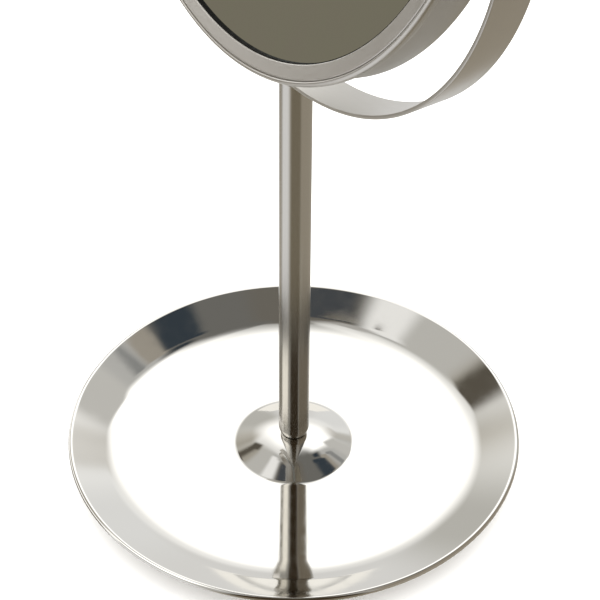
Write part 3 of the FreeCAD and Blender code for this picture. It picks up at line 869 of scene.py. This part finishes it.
@dataclass
class Head:
    """The round case and the two glasses in it."""

    tilt_deg: float = 12.31
    centre_z: float = 249.18
    case_r: float = 83.2
    wall: float = 0.8
    bead_r: float = 84.1
    bead_round: float = 1.15
    bead_low: float = 5.0
    bead_high: float = 5.9
    lip_r: float = 82.6
    lip_round: float = 0.35
    back_n: float = 7.05
    back_round: float = 0.35
    bezel_in_r: float = 78.17
    bezel_in_n: float = 6.45
    bezel_out_n: float = 6.83
    sheet: float = 0.55
    skirt_n: float = 3.6
    glass_r: float = 81.0
    glass_t: float = 2.0
    glass_n: float = 5.35
    gasket_r: float = 77.9
    shade_lip_n: float = 6.15
    magnifier_r: float = 620.0
    body: str = "mirror_head"

    def place(self) -> Matrix:
        """Where the head stands at rest: made about Z with its plain side up, then tilted at the yoke."""
        return (Matrix.Translation((0, 0, self.centre_z * MM))
                @ Matrix.Rotation(math.radians(90 - self.tilt_deg), 4, "X"))

    def flipped(self) -> Matrix:
        """The same place for a piece of the other side, turned over."""
        return self.place() @ Matrix.Rotation(math.pi, 4, "X")

    def case(self) -> bpy.types.Mesh:
        """Makes the band, with a rounded bead round its front edge.

        Returns:
            The mesh.
        """
        inner, bead = self.case_r - self.wall, self.bead_r - self.bead_round
        joint = self.bead_low - math.sqrt(self.bead_round ** 2 - (self.case_r - bead) ** 2)
        crest = self.bead_high + self.bead_round
        lip = crest - self.lip_round
        back_r, back_n = self.case_r - self.back_round, self.back_round - self.back_n
        section = Profile(inner, -self.back_n).line(inner, lip - 0.4).line(self.lip_r, lip - 0.2)
        section.line(self.lip_r, lip).arc(bead, lip, bead, crest, 15)
        section.arc(bead, self.bead_high, self.bead_r, self.bead_high, 5).line(self.bead_r, self.bead_low)
        section.arc(bead, self.bead_low, self.case_r, joint, 5).line(self.case_r, back_n)
        return turned(section.arc(back_r, back_n, back_r, -self.back_n, 10), 288, self.place())

    def bezel(self, place: Matrix) -> bpy.types.Mesh:
        """Makes the pressed ring round a glass.

        Args:
            place: Where its side of the head is.

        Returns:
            The mesh.
        """
        outer, edge, corner, bend = self.case_r - self.wall, 0.25, 0.35, 0.3
        skirt, under_n = outer - self.sheet, self.bezel_out_n - self.sheet
        corner_r, corner_n = outer - corner, self.bezel_out_n - corner
        edge_r, edge_n = self.bezel_in_r + edge, self.bezel_in_n - edge
        section = Profile(outer, self.skirt_n).line(outer, corner_n)
        section.arc(corner_r, corner_n, corner_r, self.bezel_out_n, 10)
        section.line(edge_r, self.bezel_in_n).arc(edge_r, edge_n, self.bezel_in_r, edge_n, 15)
        section.line(self.bezel_in_r, self.bezel_in_n - self.sheet)
        section.line(skirt - bend, under_n).line(skirt, under_n - bend)
        return turned(section.line(skirt, self.skirt_n), 288, place)

    def gasket(self, place: Matrix, bed_n: float) -> bpy.types.Mesh:
        """Makes the black ring between a bezel and its glass, a real gasket, with a black lip up the bezel's
        inner edge that is painted shade: it darkens that edge where shade falls.

        Args:
            place: Where its side of the head is.
            bed_n: How far from the head's middle plane it meets the glass at its inner edge.

        Returns:
            The mesh.
        """
        under, lip_r, bed_out_n = self.bezel_in_n - self.sheet, self.bezel_in_r - CLEAR, self.glass_n + CLEAR
        section = Profile(self.gasket_r, bed_n).line(self.glass_r, bed_out_n).line(self.glass_r, under)
        # the lip up the bezel's inner edge is black rubber standing in for the shade on that edge (painted
        # shade)
        section.line(lip_r, under).line(lip_r, self.shade_lip_n)
        return turned(section.line(self.gasket_r, self.shade_lip_n), 256, place)

    def plain(self) -> bpy.types.Mesh:
        """Makes the flat glass.

        Returns:
            The mesh.
        """
        low, edge = self.glass_n - self.glass_t, 0.2
        section = Profile(0, low).line(self.glass_r - edge, low).line(self.glass_r, low + edge)
        section.line(self.glass_r, self.glass_n - edge).line(self.glass_r - edge, self.glass_n)
        return turned(section.line(0, self.glass_n), 256, self.place())

    def magnifier(self) -> bpy.types.Mesh:
        """Makes the hollow glass of the other side, of even thickness.

        Returns:
            The mesh.
        """
        centre = -self.glass_n - math.sqrt(self.magnifier_r ** 2 - self.glass_r ** 2)
        back = self.magnifier_r + self.glass_t
        section = Profile(0, centre + self.magnifier_r).arc(0, centre, self.glass_r, -self.glass_n, 0.25)
        section.line(self.glass_r, centre + math.sqrt(back ** 2 - self.glass_r ** 2))
        return turned(section.arc(0, centre, 0, centre + back, 0.5), 256, self.place())

    def build(self) -> int:
        """Makes the pieces of the head and dresses what its case hides.

        Returns:
            How many pieces were made or dressed.
        """
        hollow = (self.glass_r ** 2 - self.gasket_r ** 2) / (2 * self.magnifier_r)
        flat_bed = self.glass_n + CLEAR
        front, back = self.place(), self.flipped()
        made = {
            "head_case": (self.case(), BAND_SATIN, "case_band"),
            "plain_side_bezel": (self.bezel(front), BEZEL_SATIN, "front_bezel"),
            "magnifying_side_bezel": (self.bezel(back), BEZEL_SATIN, "rear_bezel"),
            "plain_side_gasket": (self.gasket(front, flat_bed), RUBBER, "front_gasket"),
            "magnifying_side_gasket": (self.gasket(back, flat_bed - hollow), RUBBER, "rear_gasket"),
            "plain_glass": (self.plain(), SILVERED, "front_glass"),
            "magnifying_glass": (self.magnifier(), SILVERED, "rear_magnifying_glass"),
        }
        for name, (mesh, finish, node) in made.items():
            piece(name, mesh, finish, self.body, node)
        hidden = {"glass_backing_disc": FOAM, "case_core_ring": ABS}
        for node, finish in hidden.items():
            dress_node(node, finish)
        return len(made) + len(hidden)


@dataclass
class Pivots:
    """What carries the head in the yoke, alike on both sides."""

    centre_z: float = 249.18
    case_r: float = 83.2
    spacer_r: float = 3.8
    spring_x: float = 92.4
    yoke_r: float = 95.19
    yoke_in_r: float = 93.99
    flange_r: float = 4.5
    flange_x: float = 92.45
    bush_r: float = 3.0
    washer_t: float = 0.6
    screw_r: float = 2.0
    screw_head_r: float = 4.3
    screw_head_h: float = 2.4
    screw_end: float = 79.2
    socket: float = 2.5
    socket_depth: float = 1.3
    head: str = "mirror_head"
    yoke: str = "yoke_and_inner_tube"

    def both(self, section: Profile, finish: Finish, segments: int = 72) -> bpy.types.Mesh:
        """Turns a section, lays it on the tilt axis and sets it at both pivots.

        Args:
            section: The half section, with its height along the tilt axis.
            finish: The pieces' surface.
            segments: How many steps a full turn has.

        Returns:
            One mesh with both pieces.
        """
        place = Matrix.Translation((0, 0, self.centre_z * MM)) @ Matrix.Rotation(math.pi / 2, 4, "Y")
        values = {"Turn": math.pi, "Finish": finish.material()}
        mesh = grown(both_sides_tree(), turned(section, segments, place), values)
        smooth(mesh)
        return mesh

    def screw(self) -> Profile:
        """Draws the screw: shank, domed head and hexagon socket.

        Returns:
            Its half section.
        """
        seat = self.yoke_r + self.washer_t + 0.05
        top, key = seat + self.screw_head_h, self.socket / 2
        flatter = 1.15
        dome = flatter * (self.screw_head_r ** 2 + self.screw_head_h ** 2) / (2 * self.screw_head_h)
        centre = top - dome
        edge = centre + math.sqrt(dome ** 2 - self.screw_head_r ** 2)
        lip_r = key * 1.25
        lip = centre + math.sqrt(dome ** 2 - lip_r ** 2)
        point, under, bevel, cone = 0.3, 0.2, 0.15, 0.4
        section = Profile(0, self.screw_end).line(self.screw_r - point, self.screw_end)
        section.line(self.screw_r, self.screw_end + point).line(self.screw_r, seat)
        section.line(self.screw_head_r - under, seat).line(self.screw_head_r, seat + under)
        section.line(self.screw_head_r, edge).arc(0, centre, lip_r, lip, 4)
        section.line(key, lip - bevel, True).line(key, lip - self.socket_depth, True)
        return section.line(0, lip - self.socket_depth - cone)

    def build(self) -> int:
        """Makes the pieces of both pivots.

        Returns:
            How many pieces were made or dressed.
        """
        bore, start, end = self.screw_r + 0.06, self.case_r - 0.1, self.spring_x - 0.75
        round_r, lip_r, edge = self.spacer_r - 0.3, self.flange_r - 0.2, 0.15
        spacer = Profile(self.screw_r, start).line(self.spacer_r, start).line(self.spacer_r, end - 0.3)
        spacer.arc(round_r, end - 0.3, round_r, end, 20).line(self.screw_r, end)
        spring_r = self.screw_r + 0.1
        spring = Profile(spring_r, end + 0.35).line(self.spacer_r, end).line(self.spacer_r, end + 0.4)
        spring.line(spring_r, self.spring_x)
        bush_end, washer_end = self.yoke_r + self.washer_t * 0.7, self.yoke_r + self.washer_t
        bush = Profile(bore, self.flange_x).line(lip_r, self.flange_x)
        bush.arc(lip_r, self.flange_x + 0.2, self.flange_r, self.flange_x + 0.2, 20)
        bush.line(self.flange_r, self.yoke_in_r).line(self.bush_r, self.yoke_in_r).line(self.bush_r, bush_end)
        bush.line(bore, bush_end)
        washer = Profile(self.bush_r, self.yoke_r).line(self.flange_r, self.yoke_r)
        washer.line(self.flange_r, washer_end - edge).line(self.flange_r - edge, washer_end)
        washer.line(self.bush_r, washer_end)
        made = {
            "pivot_spacer_pair": (spacer, STEM_SATIN, self.head, "pivot_spacers"),
            "pivot_cone_spring_pair": (spring, ZINC, self.head, "pivot_cone_springs"),
            "pivot_screw_pair": (self.screw(), STEM_SATIN, self.head, "pivot_screws"),
            "pivot_bush_pair": (bush, ACETAL, self.yoke, "pivot_bushes"),
            "pivot_washer_pair": (washer, ACETAL, self.yoke, "pivot_washers"),
        }
        for name, (section, finish, body, node) in made.items():
            piece(name, self.both(section, finish), finish, body, node)
        dress_node("pivot_inserts", BRASS)
        return len(made) + 1


# ---------------------------------------------------------------- studio
@dataclass(frozen=True)
class Panel:
    """An evenly lit stretch of the studio's walls, ceiling or table, as the metal reflects it."""

    turn_deg: float          # round the object from the camera's side, to the camera's right
    lift_deg: float          # above the horizon
    wide_deg: float
    high_deg: float
    soft_deg: float          # how wide its edge fades
    colour: str
    glow: float


def glowing(colour: str, glow: float) -> tuple[float, ...]:
    """Returns the light that a lit surface of some colour gives."""
    return tuple(part * glow for part in linear(colour)[:3]) + (1.0,)


@dataclass
class Studio:
    """Camera, pale floor, and the soft light and dark of a photographer's room."""

    turn_deg: float = 56.845
    drop_deg: float = 40.229
    roll_deg: float = 0.459
    back: float = 452.704
    aside: float = 1.728
    height: float = 450.817
    lens: float = 113.02
    floor_half: float = 4.0      # metres
    daylight: float = 2.2
    base: tuple[str, float] = ("f6f6f4", 0.7)
    panels: tuple[Panel, ...] = (
        # the table, as upright surfaces reflect it
        Panel(0, -46, 360, 88, 3, "fff6e4", 0.5),
        Panel(0, -80, 360, 36, 12, "f6e4ca", 0.46),
        Panel(180, -30, 90, 60, 14, "ffffff", 1.0),
        Panel(-72, -45, 64, 90, 30, "fbfcff", 1.12),
        Panel(4, -45, 72, 90, 24, "fff0d2", 0.27),
        Panel(98, -45, 110, 90, 16, "fff4e0", 0.46),
        # the walls, to the right, behind the camera and to the left
        Panel(162, 12, 36, 26, 8, "fafbfc", 1.08),
        Panel(-162, 15, 30, 40, 6, "f8f7f2", 0.72),
        Panel(180, 11, 20, 26, 8, "fafafa", 1.0),
        Panel(150, 29, 12, 9, 4, "f6f2ea", 0.6),
        Panel(80, 32, 86, 66, 10, "fff1dc", 0.37),
        Panel(2, 42, 60, 86, 9, "ffdcae", 0.07),
        Panel(-125, 30, 50, 50, 8, "f8f2e4", 0.55),
        Panel(-120, 58, 36, 16, 6, "f7f6f2", 0.75),
        Panel(-112, 70, 34, 9, 4, "fafafa", 1.25),
        # the ceiling
        Panel(0, 90, 360, 28, 4, "f6efe2", 0.22),
        Panel(-92, 83, 38, 11, 4, "dfe8f4", 0.11),
        Panel(120, 70, 80, 22, 5, "eeece6", 0.24),
        # the softboxes: a large one at the back and a tall one at the left
        Panel(-152, 58, 28, 42, 10, "fbfbfa", 1.12),
        Panel(-134, 76, 24, 8, 5, "f8f6f2", 0.62),
        Panel(180, 46, 58, 38, 24, "ffffff", 1.9),
        Panel(152, 50, 26, 28, 12, "ffffff", 1.9),
        Panel(139, 40, 12, 14, 4, "faf9f6", 0.78),
        Panel(-72, 47, 52, 40, 9, "fffefb", 2.25),
        # boom arms and a stand
        Panel(116, 63, 10, 14, 3, "94a8bc", 0.16),
        Panel(130, 64, 9, 5, 3, "94a8bc", 0.14),
        Panel(124, 57, 6, 6, 2, "f6eee0", 0.5),
        Panel(128, 50, 4, 7, 2, "eef0f0", 0.4),
        Panel(-135, 44, 9, 10, 4, "e6dac6", 0.17),
        # the dark cloth that the plain glass reflects, with a bright board above it
        Panel(-114, 8, 66, 20, 5, "fbfbfc", 2.0),
        Panel(-108, -17, 34, 29, 4, "fcedd4", 0.22),
    )

    def camera(self) -> None:
        """Sets the camera up, looking down at the object."""
        data = bpy.data.cameras.new("camera")
        data.lens, data.sensor_width = self.lens, 36.0
        eye = bpy.data.objects.new("camera", data)
        turn, drop, roll = (math.radians(a) for a in (self.turn_deg, self.drop_deg, self.roll_deg))
        about = Matrix.Rotation(turn, 4, "Z")
        stand = about @ Vector((self.aside, -self.back, self.height)) * MM
        eye.matrix_world = (Matrix.Translation(stand) @ about @ Matrix.Rotation(math.pi / 2 - drop, 4, "X")
                            @ Matrix.Rotation(roll, 4, "Z"))
        bpy.context.scene.collection.objects.link(eye)
        bpy.context.scene.camera = eye

    def floor(self) -> None:
        """The pale matt floor. The metal reflects the studio's table in its place."""
        mesh, half = bpy.data.meshes.new("floor"), self.floor_half
        mesh.from_pydata([(-half, -half, 0), (half, -half, 0), (half, half, 0), (-half, half, 0)], [],
                         [(0, 1, 2, 3)])
        paint = bpy.data.materials.new("white_paper")
        paint.use_nodes = True
        paint.node_tree.nodes.clear()
        surface = add_node(paint.node_tree, "ShaderNodeBsdfDiffuse", {"Color": linear("f6f5f3")})
        add_node(paint.node_tree, "ShaderNodeOutputMaterial", {"Surface": surface})
        mesh.materials.append(paint)
        made = bpy.data.objects.new("floor", mesh)
        bpy.context.scene.collection.objects.link(made)
        made.visible_glossy = False

    def bearings(self, tree: bpy.types.NodeTree) -> tuple[bpy.types.Node, bpy.types.Node]:
        """Works out where a direction points, as seen from the object.

        Args:
            tree: The world's node tree.

        Returns:
            The angle round the object from the camera's side, and the angle above the horizon.
        """
        place = add_node(tree, "ShaderNodeTexCoord")
        facing = add_node(tree, "ShaderNodeVectorRotate", {
            "Vector": place.outputs["Generated"], "Axis": (0, 0, 1), "Angle": -math.radians(self.turn_deg)})
        right, back, up = add_node(tree, "ShaderNodeSeparateXYZ", {"Vector": facing}).outputs
        near = add_node(tree, "ShaderNodeMath", {0: back, 1: -1.0}, operation="MULTIPLY")
        turn = add_node(tree, "ShaderNodeMath", {0: right, 1: near}, operation="ARCTAN2")
        return turn, add_node(tree, "ShaderNodeMath", {0: up}, operation="ARCSINE")

    def reflected(self, tree: bpy.types.NodeTree) -> bpy.types.NodeSocket:
        """Lays the panels over each other in order, on the room's base colour.

        Args:
            tree: The world's node tree.

        Returns:
            The socket with the colour that a direction shows.
        """
        turn, lift = self.bearings(tree)
        colour: Any = glowing(*self.base)
        for panel in self.panels:
            masks = []
            for angle, middle, size in ((turn, panel.turn_deg, panel.wide_deg),
                                        (lift, panel.lift_deg, panel.high_deg)):
                away = add_node(tree, "ShaderNodeMath", {0: angle, 1: math.radians(middle)},
                                operation="SUBTRACT")
                near = add_node(tree, "ShaderNodeMath", {0: away, 1: math.pi, 2: -math.pi}, operation="WRAP")
                off = add_node(tree, "ShaderNodeMath", {0: near}, operation="ABSOLUTE")
                low, high = (math.radians(size / 2 + side * panel.soft_deg) for side in (-0.5, 0.5))
                masks.append(add_node(tree, "ShaderNodeMapRange", {
                    "Value": off, "From Min": low, "From Max": high, "To Min": 1.0, "To Max": 0.0},
                    interpolation_type="SMOOTHSTEP"))
            mask = add_node(tree, "ShaderNodeMath", {0: masks[0], 1: masks[1]}, operation="MULTIPLY")
            colour = add_node(tree, "ShaderNodeMix", {
                "Factor": mask, "A": colour, "B": glowing(panel.colour, panel.glow)},
                data_type="RGBA").outputs["Result"]
        return colour

    def room(self) -> None:
        """Sets up even light for matt surfaces, and the panels for what glossy surfaces reflect."""
        world = bpy.data.worlds.new("studio")
        world.use_nodes = True
        world.cycles.sampling_method = "NONE"
        tree = world.node_tree
        tree.nodes.clear()
        mirrored = add_node(tree, "ShaderNodeBackground", {"Color": self.reflected(tree)})
        even = add_node(tree, "ShaderNodeBackground", {"Color": linear("ffffff"), "Strength": self.daylight})
        glossy = add_node(tree, "ShaderNodeLightPath").outputs["Is Glossy Ray"]
        chosen = add_node(tree, "ShaderNodeMixShader", {0: glossy, 1: even, 2: mirrored})
        add_node(tree, "ShaderNodeOutputWorld", {"Surface": chosen})
        bpy.context.scene.world = world

    def build(self) -> int:
        """Sets up the camera, the floor and the room.

        Returns:
            How many panels the room has.
        """
        bpy.context.scene.view_settings.view_transform = "Standard"
        self.camera()
        self.floor()
        self.room()
        return len(self.panels)


def main() -> None:
    """Builds the sub-assemblies in order and reports each one."""
    logging.basicConfig(level=logging.INFO, format="%(name)s: %(message)s")
    builders: dict[str, Callable[[], int]] = {
        "studio": Studio().build, "foot": Foot().build, "stem": Stem().build, "yoke": Yoke().build,
        "head": Head().build, "pivots": Pivots().build,
    }
    for name, build in builders.items():
        LOG.info("%s: %d pieces", name, build())


if __name__ == "__main__":
    main()
